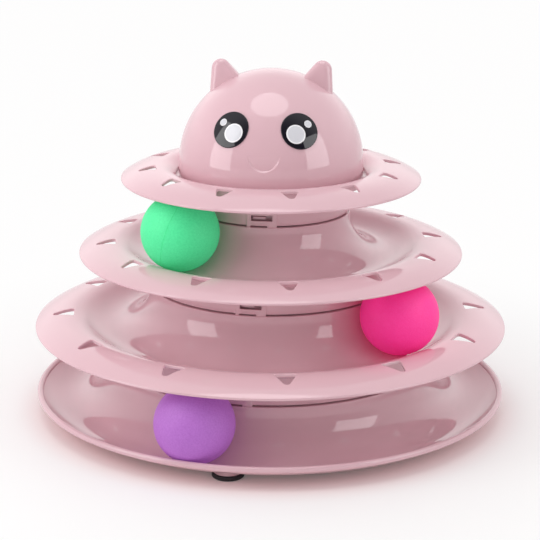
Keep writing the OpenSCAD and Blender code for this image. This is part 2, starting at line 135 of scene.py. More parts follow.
# %% [markdown]
# Three helpers make every mesh. The first turns arrays of points and faces into an object:
# it welds the points that lie on each other, so poles and seams close, and marks edges sharp
# only where two faces meet at more than a soft angle. The second numbers the quads of a grid.
# The third turns a closed outline round the tower's axis, as a lathe or a potter's wheel does.
# The other functions place points, and make arcs and rounded corners for outlines. Modifiers
# could turn an outline too, but a grid made by a formula leaves room for slots and a mouth.

# %% Mesh helpers
sharp_angle = math.radians(38)
weld_distance = 1e-6
corner_steps = 3


class Shell:
    """Points and quads that are gathered from several surfaces before one mesh is made."""

    def __init__(self):
        self.points, self.quads, self.count = [], [], 0

    def add(self, points, quads):
        self.points.append(np.asarray(points, float).reshape(-1, 3))
        self.quads.append(np.asarray(quads, int) + self.count)
        self.count += len(self.points[-1])
        return self

    def grid(self, points, turned=False):
        """Adds rows of points with the quads between them, which face the other way if turned."""
        quads = grid_quads(*points.shape[:2])
        return self.add(points, quads[:, ::-1] if turned else quads)

    def mesh(self, name):
        points = np.concatenate(self.points) / metre
        quads = np.concatenate(self.quads)
        mesh = bpy.data.meshes.new(name)
        mesh.from_pydata(points, [], quads)
        work = bmesh.new()
        work.from_mesh(mesh)
        bmesh.ops.remove_doubles(work, verts=work.verts, dist=weld_distance)
        bmesh.ops.dissolve_degenerate(work, edges=work.edges, dist=weld_distance / 10)
        wires = [edge for edge in work.edges if not edge.link_faces]
        bmesh.ops.delete(work, geom=wires, context="EDGES")
        open_edges = sum(len(edge.link_faces) != 2 for edge in work.edges)
        turned = sum(len(edge.link_faces) == 2 and not edge.is_contiguous for edge in work.edges)
        volume = work.calc_volume(signed=True) * metre**3
        work.to_mesh(mesh)
        work.free()
        mesh.shade_smooth()
        mesh.set_sharp_from_angle(angle=sharp_angle)
        faults = f"{open_edges} open edges, {turned} turned"
        print(f"{name}: {len(mesh.polygons)} faces, {faults}, {volume:.0f} cubic mm")
        return mesh


def grid_quads(rows, columns):
    """Quads between neighbours of a grid of points that is stored row by row. The last column
    joins the first, because every grid here goes once round something."""
    i, j = np.meshgrid(np.arange(rows - 1), np.arange(columns), indexing="ij")
    this_row, next_row, next_j = i * columns, (i + 1) * columns, (j + 1) % columns
    quads = [this_row + j, this_row + next_j, next_row + next_j, next_row + j]
    return np.stack(quads, -1).reshape(-1, 4)


def on_rings(radius, azimuth, height):
    """Points at radius, azimuth in degrees from the front towards the right, and height."""
    a = np.radians(azimuth)
    return np.stack(np.broadcast_arrays(radius * np.sin(a), -radius * np.cos(a), height), -1)


def at_azimuth(x, y, z, azimuth):
    """Points measured outwards (x), sideways (y) and up (z), carried round to an azimuth."""
    a = math.radians(azimuth)
    return np.stack([x * math.sin(a) + y * math.cos(a), -x * math.cos(a) + y * math.sin(a), z], -1)


def lathe(shell, outline, columns=256):
    """Turns a closed outline of (radius, height) round the axis. The outline runs with the
    solid on its left, seen with the radius to the right and the height up."""
    outline = np.concatenate([outline, outline[:1]])
    azimuth = np.arange(columns) * 360 / columns
    return shell.grid(on_rings(outline[:, :1], azimuth[None, :], outline[:, 1:]))


def arc(centre, r, a, b, steps):
    """Points on a circle from angle a to angle b, in degrees."""
    t = np.radians(np.linspace(a, b, steps + 1))
    return np.stack([centre[0] + r * np.cos(t), centre[1] + r * np.sin(t)], -1)


def rounded(outline, r):
    """Replaces each corner of a closed outline of straight sides by a small arc: a curve that
    leaves one side at distance r from the corner and joins the next one."""
    outline = np.asarray(outline, float)
    before, after = np.roll(outline, 1, 0), np.roll(outline, -1, 0)
    to_before = (before - outline) / np.linalg.norm(before - outline, axis=1)[:, None]
    to_after = (after - outline) / np.linalg.norm(after - outline, axis=1)[:, None]
    t = np.linspace(0, 1, corner_steps + 1)[None, :, None]
    start, end = outline + r * to_before, outline + r * to_after
    curve = (1 - t) ** 2 * start[:, None] + 2 * t * (1 - t) * outline[:, None] + t**2 * end[:, None]
    return curve.reshape(-1, 2)


# %% [markdown]
# A brim is the wide lip of a tray. Its wall follows two arcs that meet, level, at the crest:
# one falls gently out to the rim, and one falls in towards the track. A brim can tell the height
# of either skin of its wall at any radius, which is what the slots need.

# %% Brims
rim_steps = 8
arc_limit = 0.99


class Brim:
    """Outside the crest, the middle of the wall follows an arc, and inside it the upper skin
    follows another, of radius inner_r."""

    def __init__(self, crest, width, drop, inner_r):
        self.crest, self.inner_r = np.asarray(crest, float), inner_r
        w = width - wall / 2
        self.mid_r = (w * w + drop * drop) / (2 * drop)
        self.lean = math.degrees(math.asin(w / self.mid_r))
        self.centre = self.crest - [0, wall / 2 + self.mid_r]
        a = math.radians(self.lean)
        self.edge = self.centre + self.mid_r * np.array([math.sin(a), math.cos(a)])
        self.rim_r = crest[0] + width

    def height(self, r, depth):
        """Height of the upper skin (depth 0) or the lower skin (depth wall) at a radius."""
        outer_r, inner_r = self.mid_r + wall / 2 - depth, self.inner_r - depth
        beyond = np.maximum(r - self.crest[0], 0)
        within = np.clip(self.crest[0] - r, 0, inner_r * arc_limit)
        outer = self.centre[1] + np.sqrt(outer_r**2 - beyond**2)
        inner = self.crest[1] - self.inner_r + np.sqrt(inner_r**2 - within**2)
        return np.where(r >= self.crest[0], outer, inner)

    def skin(self, parts, depth):
        """Outline points of a skin at radii that are given in parts."""
        radii = np.concatenate(parts)
        return np.stack([radii, self.height(radii, depth)], -1)

    def rim(self):
        """The rounding of the rim, from the lower skin round to the upper one."""
        return arc(self.edge, wall / 2, -90 - self.lean, 90 - self.lean, rim_steps)

    def rim_end(self, side):
        """Radius where the rounding meets the upper skin (side 1) or the lower skin (side -1)."""
        return self.edge[0] + side * wall / 2 * math.sin(math.radians(self.lean))


# %% [markdown]
# A brim has twelve slots for a paw, each a rounded triangle with softly rounded edges. A
# boolean cut would leave long thin faces that show in the gloss. Instead the lathe's grid
# leaves out a small block of quads round each slot, and a patch fills the block. First comes the
# outline of one slot, and then `SlotRow`, which keeps what the twelve slots of a brim share.

# %% Slot outlines
slot_tip_r, slot_corner_r = 2.0, 0.9
slot_margin = 9.3
slot_edge = 0.5
block_beyond, block_rows = 2.4, 15
fine_columns, coarse_columns = 20, 10
side_points = 30


def slot_rays(length, grow, angles, centre):
    """Distance from a centre to the outline of a rounded triangle, as wide as long, that has
    grown by a distance, at each angle. The outline is three arcs with sides between them."""
    tip = np.array([length - slot_tip_r, 0.0])
    corner = np.array([slot_corner_r, length / 2 - slot_corner_r])
    way = tip - corner
    bend = math.acos((slot_corner_r - slot_tip_r) / math.hypot(*way))
    side = math.degrees(math.atan2(way[1], way[0]) + bend)
    corner_r = slot_corner_r + grow
    loop = [arc(tip, slot_tip_r + grow, -side, side, 16), arc(corner, corner_r, side, 180, 12)]
    loop = np.concatenate([*loop, arc(corner * [1, -1], corner_r, 180, 360 - side, 12)])
    loop = np.concatenate([loop, loop[:1]])
    t = np.linspace(0, 1, side_points)[None, :, None]
    loop = (loop[:-1, None] * (1 - t) + loop[1:, None] * t).reshape(-1, 2) - centre
    angle, distance = np.arctan2(loop[:, 1], loop[:, 0]), np.hypot(loop[:, 0], loop[:, 1])
    order = np.argsort(angle)
    return np.interp(angles, angle[order], distance[order], period=2 * math.pi)


class SlotRow:
    """The slots of one brim, and the blocks of quads that make room for them. half is a block's
    half angle, and within is how far it reaches inwards past the slot's wide end."""

    def __init__(self, brim, length, within, half, yaw):
        self.brim, self.length, self.half, self.yaw = brim, length, half, yaw
        self.start = brim.rim_r - slot_margin - length
        end = self.start + length + block_beyond
        self.block_r = np.linspace(self.start - within, end, block_rows)

    def columns(self):
        """Azimuths of the grid's columns: fine across each slot's block, coarse in between."""
        pitch = 360 / slot_count
        across = np.linspace(-self.half, self.half, fine_columns + 1)[:-1]
        apart = np.linspace(self.half, pitch - self.half, coarse_columns + 1)[:-1]
        one = np.concatenate([across, apart])
        return self.yaw + (np.arange(slot_count)[:, None] * pitch + one[None, :]).ravel()

    def upper(self, inside):
        """The rim, and the upper skin from it in past the blocks and over more radii."""
        outside = np.linspace(self.brim.rim_end(1), self.block_r[-1], 8)[1:-1]
        return [self.brim.rim(), self.brim.skin([outside, self.block_r[::-1], inside], 0)]

    def lower(self, inside):
        """The lower skin, over some radii and out past the blocks to the rim."""
        outside = np.linspace(self.block_r[-1], self.brim.rim_end(-1), 6)[1:-1]
        return self.brim.skin([inside, self.block_r, outside], wall)


# %% [markdown]
# The patch that fills a block is a grid too. Its rows run from the block's edge to the slot's
# outline, over the rounding, down the slot's wall and back out on the underside. Every point is
# lifted on to the brim's own curve, so the patch joins the rest of the brim without a step.

# %% Slots
centre_share = 0.38
approach_bend = 0.8
far_away, brim_depth = 1e3, 3


def slot_patch(row):
    """Rows of points round one slot, in a frame whose x runs outwards. The first row is the
    block's edge on the upper skin and the last row is its edge on the lower skin."""
    sweep = np.radians(np.linspace(-row.half, row.half, fine_columns + 1))
    block_r, sides = row.block_r, block_rows - 1
    edge_r = [np.full(fine_columns, block_r[0]), block_r[:-1]]
    edge_r = np.concatenate([*edge_r, np.full(fine_columns, block_r[-1]), block_r[:0:-1]])
    edge_a = [sweep[:-1], np.full(sides, sweep[-1]), sweep[:0:-1], np.full(sides, sweep[0])]
    edge_a = np.concatenate(edge_a)
    edge = np.stack([edge_r * np.cos(edge_a), edge_r * np.sin(edge_a)], -1)
    centre = np.array([row.length * centre_share, 0.0])
    angles = np.arctan2(edge[:, 1], edge[:, 0] - row.start - centre[0])

    def ring(grow):
        rays = slot_rays(row.length, grow, angles, centre)
        return np.stack([row.start + centre[0] + rays * np.cos(angles), rays * np.sin(angles)], -1)

    def lifted(flat, depth):
        height = row.brim.height(np.hypot(flat[:, 0], flat[:, 1]), depth)
        return np.concatenate([flat, height[:, None]], 1)

    rows = []
    for share in np.linspace(0, 1, 8)[:-1] ** approach_bend:
        rows.append(lifted(edge * (1 - share) + ring(slot_edge) * share, 0))
    for a in np.radians(np.linspace(0, 90, 5)):
        rows.append(lifted(ring(slot_edge * (1 - math.sin(a))), slot_edge * (1 - math.cos(a))))
    under = slot_edge / 2
    for a in np.radians(np.linspace(90, 0, 4)):
        rows.append(lifted(ring(under * (1 - math.sin(a))), wall - under * (1 - math.cos(a))))
    for share in np.linspace(1, 0, 6)[1:]:
        rows.append(lifted(edge * (1 - share) + ring(under) * share, wall))
    return np.stack(rows)


def slotted_lathe(row, upper, lower):
    """Turns an outline round the axis and opens the slots. upper has the parts of the skin from
    the rim's underside edge inwards, and lower those back out to it. Both pass the blocks."""
    upper, lower, shell = np.concatenate(upper), np.concatenate(lower), Shell()
    outline = np.concatenate([upper, lower, upper[:1]])
    azimuth = row.columns()
    columns = len(azimuth)
    points = on_rings(outline[:, :1], azimuth[None, :], outline[:, 1:])
    quads = grid_quads(len(outline), columns).reshape(len(outline) - 1, columns, 4)
    keep = np.ones(quads.shape[:2], bool)
    in_block = (np.arange(columns) % (fine_columns + coarse_columns)) < fine_columns
    for skin, before in ((upper, 0), (lower, len(upper))):
        below_brim = skin[:, 1] < row.brim.edge[1] - brim_depth
        ends = []
        for r in row.block_r[[0, -1]]:
            ends.append(before + np.argmin(np.abs(skin[:, 0] - r) + far_away * below_brim))
        keep[min(ends) : max(ends)] &= ~in_block
    shell.add(points, quads[keep])
    patch = np.moveaxis(slot_patch(row), -1, 0)
    for i in range(slot_count):
        shell.grid(at_azimuth(*patch, row.yaw + i * 360 / slot_count), turned=True)
    return shell


# %% [markdown]
# The trays twist on to each other. Each column ends in a neck with four lugs, and the collar
# of the tray above it has windows that show the lugs, slots that the lugs run in, and raised
# tabs. All of these follow the azimuth, the height or the radius, so the collar is cut out of
# a ring of blocks: a table says which blocks are solid, and a face goes wherever a solid block
# meets an empty one. A small bevel then rounds the edges, as a mould does.

# %% Blocks of a ring
block_bevel = 0.12
bevel_angle = math.radians(40)
column_turn = 1.5


def between(values, low, high):
    """Which spans between neighbouring values lie inside a range."""
    middle = (values[:-1] + values[1:]) / 2
    return (middle > low) & (middle < high)


def blocks(azimuths, heights, radii, solid):
    """Faces of solid blocks of a ring. solid has one entry for each azimuth, height and
    radius span; the azimuths go once round."""
    points = on_rings(radii[None, None, :], azimuths[:-1, None, None], heights[None, :, None])
    n, m, p = len(azimuths) - 1, len(heights), len(radii)
    number = np.arange(n * m * p).reshape(n, m, p)
    number = np.stack([number, np.roll(number, -1, 0)])
    padded = np.zeros((n, m + 1, p + 1), int)
    padded[:, 1:-1, 1:-1] = solid
    outwards = np.diff(padded, axis=2)[:, 1:-1, :]
    upwards = np.diff(padded, axis=1)[:, :, 1:-1]
    sideways = (padded - np.roll(padded, 1, 0))[:, 1:-1, 1:-1]
    faces = []
    for step, facing, corners in (
        (outwards, -1, ((0, 0, 0), (1, 0, 0), (1, 1, 0), (0, 1, 0))),
        (upwards, 1, ((0, 0, 0), (1, 0, 0), (1, 0, 1), (0, 0, 1))),
        (sideways, -1, ((0, 0, 0), (0, 1, 0), (0, 1, 1), (0, 0, 1))),
    ):
        i, j, k = np.nonzero(step)
        side = (step[i, j, k] * facing)[:, None]
        quad = np.stack([number[turn, i, j + up, k + out] for turn, up, out in corners], -1)
        faces.append(np.where(side > 0, quad, quad[:, ::-1]))
    mesh = bpy.data.meshes.new("blocks")
    mesh.from_pydata(points.reshape(-1, 3) / metre, [], np.concatenate(faces))
    cut = bmesh.new()
    cut.from_mesh(mesh)
    loose = [v for v in cut.verts if not v.link_faces]
    bmesh.ops.delete(cut, geom=loose, context="VERTS")
    edges = [e for e in cut.edges if len(e.link_faces) == 2 and e.calc_face_angle(0) > bevel_angle]
    width = block_bevel / metre
    bmesh.ops.bevel(
        cut, geom=edges, offset=width, segments=2, affect="EDGES", profile=0.5, clamp_overlap=True
    )
    bmesh.ops.triangulate(cut, faces=[f for f in cut.faces if len(f.verts) != 4])
    cut.verts.index_update()
    at = np.array([v.co for v in cut.verts]) * metre
    made = [[v.index for v in f.verts] for f in cut.faces]
    quads = np.array([f if len(f) == 4 else [*f, f[-1]] for f in made])
    cut.free()
    bpy.data.meshes.remove(mesh)
    return at, quads


def ring_marks(spans):
    """Azimuths once round, with a mark at both ends of every span and steps between them."""
    marks = np.unique(np.round(np.mod(np.ravel(spans), 360), 6))
    marks = np.append(marks, marks[0] + 360)
    parts = []
    for a, b in zip(marks[:-1], marks[1:]):
        count = max(1, math.ceil((b - a) / column_turn))
        parts.append(np.linspace(a, b, count + 1)[:-1])
    return np.append(np.concatenate(parts), marks[-1])


# %% [markdown]
# Now the lock, seen from inside the collar: a lug comes in from below through an entry, and
# then a slot lets it run sideways until it stands behind the window.

# %% Locks
neck_round = 0.3


def in_turns(azimuths, centre, turn):
    """Which spans lie within turn degrees round a centre or its repeats."""
    middle = (azimuths[:-1] + azimuths[1:]) / 2
    off = np.mod(middle - centre + 180 / lug_count, 360 / lug_count) - 180 / lug_count
    return np.abs(off) < turn / 2


def turns(centre, turn):
    """Both ends of a span of turn degrees round a centre, and the same at its repeats."""
    return [centre + i * 360 / lug_count + s * turn / 2 for i in range(lug_count) for s in (-1, 1)]


def lock_ring(r_in, r_out, z, z_top, first_lug, window=None, tab=None):
    """A ring with slots for the lugs. window and tab are (centre, turn), and a ring without
    them is plain outside."""
    r_lug = r_in - neck_gap + lug_out
    slot = (first_lug + twist / 2, spread(lug_w + 2 * (lug_play + slot_step), r_lug) + twist)
    entry = (first_lug + twist, spread(lug_w + 2 * entry_play, r_lug))
    low, high = z + lug_rise - lug_play, z + lug_rise + lug_h + lug_headroom
    bottom, middle, slot_r, far = z, r_in + collar_wall / 2, r_lug + lug_play, r_out + tab_out
    marks, radii = [turns(*slot), turns(*entry)], [r_in, slot_r, r_out]
    if tab:
        bottom, foot = z + seam_gap, (first_lug, spread(notch_w, far))
        marks += [turns(*window), turns(*tab), turns(*foot)]
        radii += [middle, far]
    heights = [z, bottom, low - slot_step, low, high, high + slot_step, z_top]
    azimuths = ring_marks(np.concatenate(marks))
    heights, radii = np.array(sorted(set(heights))), np.array(sorted(set(radii)))

    def around(centre, turn):
        return in_turns(azimuths, centre, turn)[:, None, None]

    def up(start, end):
        return between(heights, start, end)[None, :, None]

    def out(start, end):
        return between(radii, start, end)[None, None, :]

    solid = np.ones((len(azimuths) - 1, 1, 1), bool) & up(bottom, z_top) & out(r_in, r_out)
    if tab:
        solid |= around(*tab) & up(z, z_top) & out(middle, far)
        solid &= ~(around(*foot) & up(z, bottom))
        solid &= ~(around(*window) & up(low, high) & out(0, far))
    solid &= ~(around(*slot) & up(low - slot_step, high + slot_step) & out(0, slot_r))
    solid &= ~(around(*entry) & up(0, high) & out(0, slot_r))
    return blocks(azimuths, heights, radii, solid)


def lugs(shell, r, z, first_lug):
    """The lugs on a neck of radius r: small blocks that start inside its wall."""
    span = (first_lug, spread(lug_w, r + lug_out))
    azimuths = ring_marks(turns(*span))
    heights = np.array([z + lug_rise, z + lug_rise + lug_h])
    radii = np.array([r - wall / 2, r + lug_out])
    solid = in_turns(azimuths, *span)[:, None, None]
    return shell.add(*blocks(azimuths, heights, radii, solid))


def neck(shell, r, z, first_lug):
    """The neck above a shoulder, a thin tube with a rounded top, and its lugs."""
    bottom, top = z - wall / 2, z + neck_h
    outline = [(r - wall, bottom), (r, bottom), (r, top), (r - wall, top)]
    lathe(shell, rounded(outline, neck_round))
    return lugs(shell, r, z, first_lug)


def collar(shell, k, z_top):
    """The collar of tier k over the neck of the tier below it."""
    r_in, z = collar_in_r(k), shoulders[k - 1]
    r_tab = r_in + collar_wall + tab_out
    window = (window_azimuth(k), spread(window_w, r_tab))
    tab = (window_azimuth(k), spread(tab_w, r_tab))
    return shell.add(*lock_ring(r_in, r_in + collar_wall, z, z_top, lug_azimuth(k), window, tab))


# %% [markdown]
# The lower and the upper tray are one moulding each: brim, ball groove, column and shoulder
# follow one outline, and only the numbers differ: how far the crest reaches out from the track,
# how high it rises above it, and the width and drop of the brim outside the crest.

# %% Trays
fillet = 0.45
tray_block_within = 2.2


def groove(k, a, b, depth, steps):
    """The track's groove from angle a to angle b; depth 0 is the skin that the ball runs on."""
    return arc((ring_r(k), floors[k] + groove_r), groove_r + depth, a, b, steps)


def shoulder(k):
    """From the column's upper skin over its rounded edge to the neck's inner side, and back."""
    z, r, r_in = shoulders[k], column_r(k), collar_in_r(k + 1) - neck_gap - wall
    edge = arc((r - fillet, z - fillet), fillet, 0, 90, 4)
    return np.concatenate([edge, [(r_in, z), (r_in, z - wall), (r - wall, z - wall)]])


def tray_shell(k, reach, rise, width, drop, slot, half):
    """One tray. slot is the length of a paw slot, which is as wide as long."""
    crest = (ring_r(k) + reach, floors[k] + rise)
    inner_r = (reach**2 + rise**2) / (2 * rise) - groove_r
    lean = math.degrees(math.asin(reach / (groove_r + inner_r)))
    brim = Brim(crest, width, drop, inner_r)
    row = SlotRow(brim, slot, tray_block_within, half, yaws[k])
    join_r = ring_r(k) + groove_r * math.sin(math.radians(lean))
    join_low = ring_r(k) + (groove_r + wall) * math.sin(math.radians(lean))
    upper = row.upper(np.linspace(row.block_r[0], join_r, 12)[1:])
    upper += [groove(k, lean - 90, -180, 0, 48)[1:], shoulder(k)]
    lower = [groove(k, -180, lean - 90, wall, 32)[:-1]]
    lower.append(row.lower(np.linspace(join_low, row.block_r[0], 8)[:-1]))
    shell = slotted_lathe(row, upper, lower)
    collar(shell, k, floors[k] - wall / 2)
    return neck(shell, collar_in_r(k + 1) - neck_gap, shoulders[k], lug_azimuth(k + 1))


lower_tray = tray_shell(1, reach=21, rise=6.5, width=19, drop=5, slot=11, half=4.5)
lower_tray = lower_tray.mesh("lower_tray_skin")
upper_tray = tray_shell(2, reach=19.1, rise=5.8, width=19, drop=5, slot=9.8, half=5.2)
upper_tray = upper_tray.mesh("upper_tray_skin")

# %% [markdown]
# The base tray has no slots. Its rim is rolled into a round bead, and the ball groove opens a
# little wider on the outside. Four bosses under the groove carry the rubber feet.

# %% Base tray and feet
dish_reach, dish_rim_h, bead_r = 18.0, 5.7, 1.6
foot_ring_r, foot_d, foot_h, boss_d = 106.0, 16.0, 2.4, 14.2
boss_top, boss_round = 5.2, 0.25
tread_chamfer, tread_round, foot_round = 0.5, 0.12, 0.25
base_columns, foot_columns = 360, 64
bead_half, dish_short = 148, 92


def on_foot_ring(shell, outline, azimuth):
    """Turns an outline round its own axis and puts it on the ring of feet."""
    own = lathe(Shell(), outline, foot_columns)
    at = on_rings(foot_ring_r, azimuth, 0)
    return shell.add(own.points[0] + at, own.quads[0])


bead_x = dish_reach - bead_r
rise = dish_rim_h + wall / 2
dish_r = (bead_x**2 + rise**2) / (2 * rise)
dish_lean = math.degrees(math.asin(bead_x / dish_r))
dish_at = (ring_r(0), floors[0] - wall / 2 + dish_r)
bead_at = (ring_r(0) + bead_x, floors[0] + dish_rim_h)
end = dish_lean - dish_short
outline = [
    arc(bead_at, bead_r, dish_lean - bead_half, dish_lean + bead_half, 28),
    arc(dish_at, dish_r - wall / 2, end, -90, 24),
    groove(0, -90, -180, 0, 44)[1:],
    shoulder(0),
    groove(0, -180, -90, wall, 36),
    arc(dish_at, dish_r + wall / 2, -90, end, 20)[1:],
]
base_shell = lathe(Shell(), np.concatenate(outline), base_columns)
neck(base_shell, collar_in_r(1) - neck_gap, shoulders[0], lug_azimuth(1))
foot_azimuths = [window_azimuth(1) + i * 90 for i in range(4)]
for azimuth in foot_azimuths:
    r = boss_d / 2
    outline = [(0, foot_h), (r, foot_h), (r, boss_top), (0, boss_top)]
    on_foot_ring(base_shell, rounded(outline, boss_round), azimuth)
base_tray = base_shell.mesh("base_tray_skin")


def foot_mesh(name, azimuth):
    """A rubber disc with a chamfered tread and a softly rounded upper edge."""
    r, low, high = foot_d / 2, tread_chamfer, foot_h - foot_round
    outline = [(0, 0), (r - low, 0), (r, low), (r, high), (r - foot_round, foot_h), (0, foot_h)]
    return on_foot_ring(Shell(), rounded(outline, tread_round), azimuth).mesh(name)


# %% [markdown]
# The top brim has the same brim and collar, but a flat well takes the place of the groove. A
# straight slope leads from the well up to the round lip, and the neck in the well holds the head.

# %% Top brim
head_r, band_h, band_wall, head_wall = 48.2, 7.7, 3.0, 2.4
top_crest_h, well_depth, well_gap, lip_h, lip_round, lip_slope = 23.8, 5.8, 1.6, 1.9, 10.0, 40.0
top_width, top_drop = 20.5, 5.8
top_slot, top_block_within, top_block_half = 8.8, 1.8, 6.6
foot_of_slope, well_flat, well_round, bore_chamfer = 1.2, 3, 0.5, 0.2
well_z = shoulders[2] + top_crest_h - well_depth
well_r = head_r + well_gap
head_lug = head_yaw + 180 / slot_count
head_neck_r = head_r - band_wall - neck_gap


def top_shell():
    """The top brim with its slots, well, collar and neck."""
    slope = math.radians(lip_slope)
    rise = well_depth - lip_h - lip_round * (1 - math.cos(slope))
    crest = (well_r + rise / math.tan(slope) + lip_round * math.sin(slope), well_z + well_depth)
    brim = Brim(crest, top_width, top_drop, lip_round)
    row = SlotRow(brim, top_slot, top_block_within, top_block_half, yaws[3])
    lip_at = np.array(crest) - [0, lip_round]
    inner = collar_in_r(3) - collar_inset
    well = [
        (well_r + foot_of_slope, well_z + lip_h + foot_of_slope * math.tan(slope)),
        (well_r, well_z + lip_h),
        (well_r, well_z),
        (well_r - well_flat, well_z),
    ]
    upper = [
        *row.upper(crest[:1]),
        arc(lip_at, lip_round, 90, 90 + lip_slope, 12)[1:],
        rounded(well, well_round)[corner_steps + 1 : -corner_steps - 1],
        [(inner + bore_chamfer, well_z), (inner, well_z - bore_chamfer)],
    ]
    z_low = well_z + lip_h - wall * math.tan(slope / 2)
    lower = [
        [(inner, well_z - wall), (well_r + wall, well_z - wall), (well_r + wall, z_low)],
        arc(lip_at, lip_round - wall, 90 + lip_slope, 90, 8)[:-1],
        row.lower(crest[:1]),
    ]
    shell = slotted_lathe(row, upper, lower)
    collar(shell, 3, well_z - wall / 2)
    return neck(shell, head_neck_r, well_z, head_lug)


top_brim = top_shell().mesh("top_brim_skin")

# %% [markdown]
# The head is a half ball on a short straight band. Its mouth is a shallow dish pressed into
# the dome: a half disc with its flat side up. Its floor slopes down from that side, levels out
# at the full depth, and ends in a step along the round lower edge. The grid is fine where the
# mouth is and coarse elsewhere.

# %% Head
dome_z = well_z + band_h
smile_r, smile_depth, smile_rise, smile_step = 7.8, 0.8, 14.8, 0.8
smile_slope, smile_half = 1.7, 20
band_shell_wall, band_lap = 1.2, 0.3
band_round, band_round_mid, dome_foot = 0.3, 0.1, 0.5
column_parts = [-180, (-30, 60), (-11, 16), (11, 168), (30, 16), (180, 60)]
row_parts = [0, (5, 5), (16.5, 92), (30, 10), (90, 36)]
inner_rows = 28


def smile_sink(azimuth, rise):
    """Depth of the mouth at an azimuth from the middle of the face and an angle above the
    dome's edge: it grows with the distance below the mouth's upper edge up to the full depth,
    and ends in a narrow straight ramp at the mouth's circle."""
    a, e = np.radians(azimuth), np.radians(rise - smile_rise)
    x, y = head_r * np.sin(a) * np.cos(np.radians(rise)), head_r * np.sin(e)
    inside = np.clip((smile_r - np.hypot(x, y)) / smile_step + 0.5, 0, 1)
    fade = np.clip(-smile_slope * y / smile_r, 0, 1)
    return smile_depth * inside * fade


def joined_steps(parts):
    """Joins even steps: the start comes first, and then (end, number of steps) of each part."""
    values, last = [np.array([parts[0]], float)], parts[0]
    for end, count in parts[1:]:
        values.append(np.linspace(last, end, count + 1)[1:])
        last = end
    return np.concatenate(values)


def head_shell():
    """The dome with its mouth, the band under it and the ring that locks it in the well."""
    shell = Shell()
    a, e = joined_steps(column_parts)[None, :-1], joined_steps(row_parts)[:, None]
    inner_e = np.linspace(90, 0, inner_rows)[:, None]
    r = head_r - np.where(np.abs(a) < smile_half, smile_sink(a, e), 0)

    def band(inwards, height):
        return on_rings(head_r - inwards, head_yaw + a, height)

    def dome(r, e):
        e = np.radians(e)
        return on_rings(r * np.cos(e), head_yaw + a, dome_z + r * np.sin(e))

    points = np.concatenate(
        [
            band(band_shell_wall, well_z),
            band(band_round, well_z),
            band(band_round_mid, well_z + band_round_mid),
            band(0, well_z + band_round),
            dome(r, e),
            dome(head_r - head_wall, inner_e),
            band(band_shell_wall, dome_z - dome_foot),
            band(band_shell_wall, well_z),
        ]
    )
    shell.grid(points)
    r_out = head_r - band_shell_wall + band_lap
    return shell.add(*lock_ring(head_r - band_wall, r_out, well_z, dome_z, head_lug))


print(f"the dome's middle is {dome_z:.1f} mm up, and the mouth is {smile_depth} mm deep")

# %% [markdown]
# The ears are rounded pyramids. Each is the skin round five balls, one at the tip and four at
# the root: for every way that a point can face, the ball that reaches furthest that way gives
# the point. The skin stops inside the dome's wall.

# %% Ears
ear_tip, ear_tip_r, ear_tip_t = (26.2, 48.17), 4.9, 3.4
ear_inner, ear_outer, ear_root_r, ear_root_t = (15.2, 38.6), (29.2, 29.8), 3.0, 6.2
ear_rows, ear_columns, column_start = 110, 140, 0.37
search_steps = 900


def down_to_wall(points):
    """Spreads each column's points evenly from the tip down to the middle of the dome's wall,
    and closes them there in one point."""
    wall_r = head_r - head_wall / 2
    steps = np.linalg.norm(np.diff(points, axis=0), axis=-1)
    along = np.concatenate([np.zeros((1, points.shape[1])), np.cumsum(steps, 0)])

    def walk(way, line, to):
        return np.stack([np.interp(to, way, line[:, i]) for i in range(3)], -1)

    columns = []
    for way, line in zip(along.T, points.transpose(1, 0, 2)):
        fine = np.linspace(0, way[-1], search_steps)
        end = fine[np.argmax(np.linalg.norm(walk(way, line, fine), axis=1) < wall_r)]
        columns.append(walk(way, line, np.linspace(0, end, ear_rows - 1)))
    columns = np.stack(columns, 1)
    middle = columns[-1].mean(0)
    middle = np.broadcast_to(middle * wall_r / np.linalg.norm(middle), columns[:1].shape)
    return np.concatenate([columns, middle])


def ear(shell, side):
    """One ear: the point that faces a way n is c + A n of the ball that reaches furthest
    along n, where A stretches a ball by its half sizes."""
    around = (np.arange(ear_columns) + column_start) * 2 * math.pi / ear_columns
    t, u = np.meshgrid(np.linspace(0, math.pi, 3 * ear_rows), around, indexing="ij")
    n = np.stack([np.sin(t) * np.cos(u), np.sin(t) * np.sin(u), np.cos(t)], -1)
    blobs = [((side * ear_tip[0], 0, ear_tip[1]), (ear_tip_r, ear_tip_t, ear_tip_r))]
    for x, z in (ear_inner, ear_outer):
        for y in (-1, 1):
            blobs.append(((side * x, y * (ear_root_t - ear_root_r), z), (ear_root_r,) * 3))
    reach, at = [], []
    for centre, half in blobs:
        scaled = n * np.array(half)
        length = np.linalg.norm(scaled, axis=-1, keepdims=True)
        reach.append((n @ np.array(centre)) + length[..., 0])
        at.append(np.array(centre) + scaled * np.array(half) / length)
    best = np.argmax(np.stack(reach), 0)
    points = np.take_along_axis(np.stack(at), best[None, ..., None], 0)[0]
    x, y, z = np.moveaxis(down_to_wall(points), -1, 0)
    return shell.grid(at_azimuth(-y, x, z + dome_z, head_yaw), turned=True)


head = ear(ear(head_shell(), -1), 1).mesh("head_skin")

# %% [markdown]
# The eyes are round stickers that lie on the dome, black with a large and a small white spot.
# Each is a thin lens with a rounded edge, made in its own frame and then turned to its place.
# A black patch in the dome's material would be simpler, but an edge of its own catches light.

# %% Eyes
glue_gap, eye_t, print_t = 0.05, 0.6, 0.15
eye_azimuth, eye_rise, eye_r = 24.4, 29.7, 9.6
large_spot = (21.2, 27.5, 4.95)
small_spot = (31.2, 33.2, 1.95)
eye_edge, spot_edge = 0.4, 0.1
disc_columns = 96


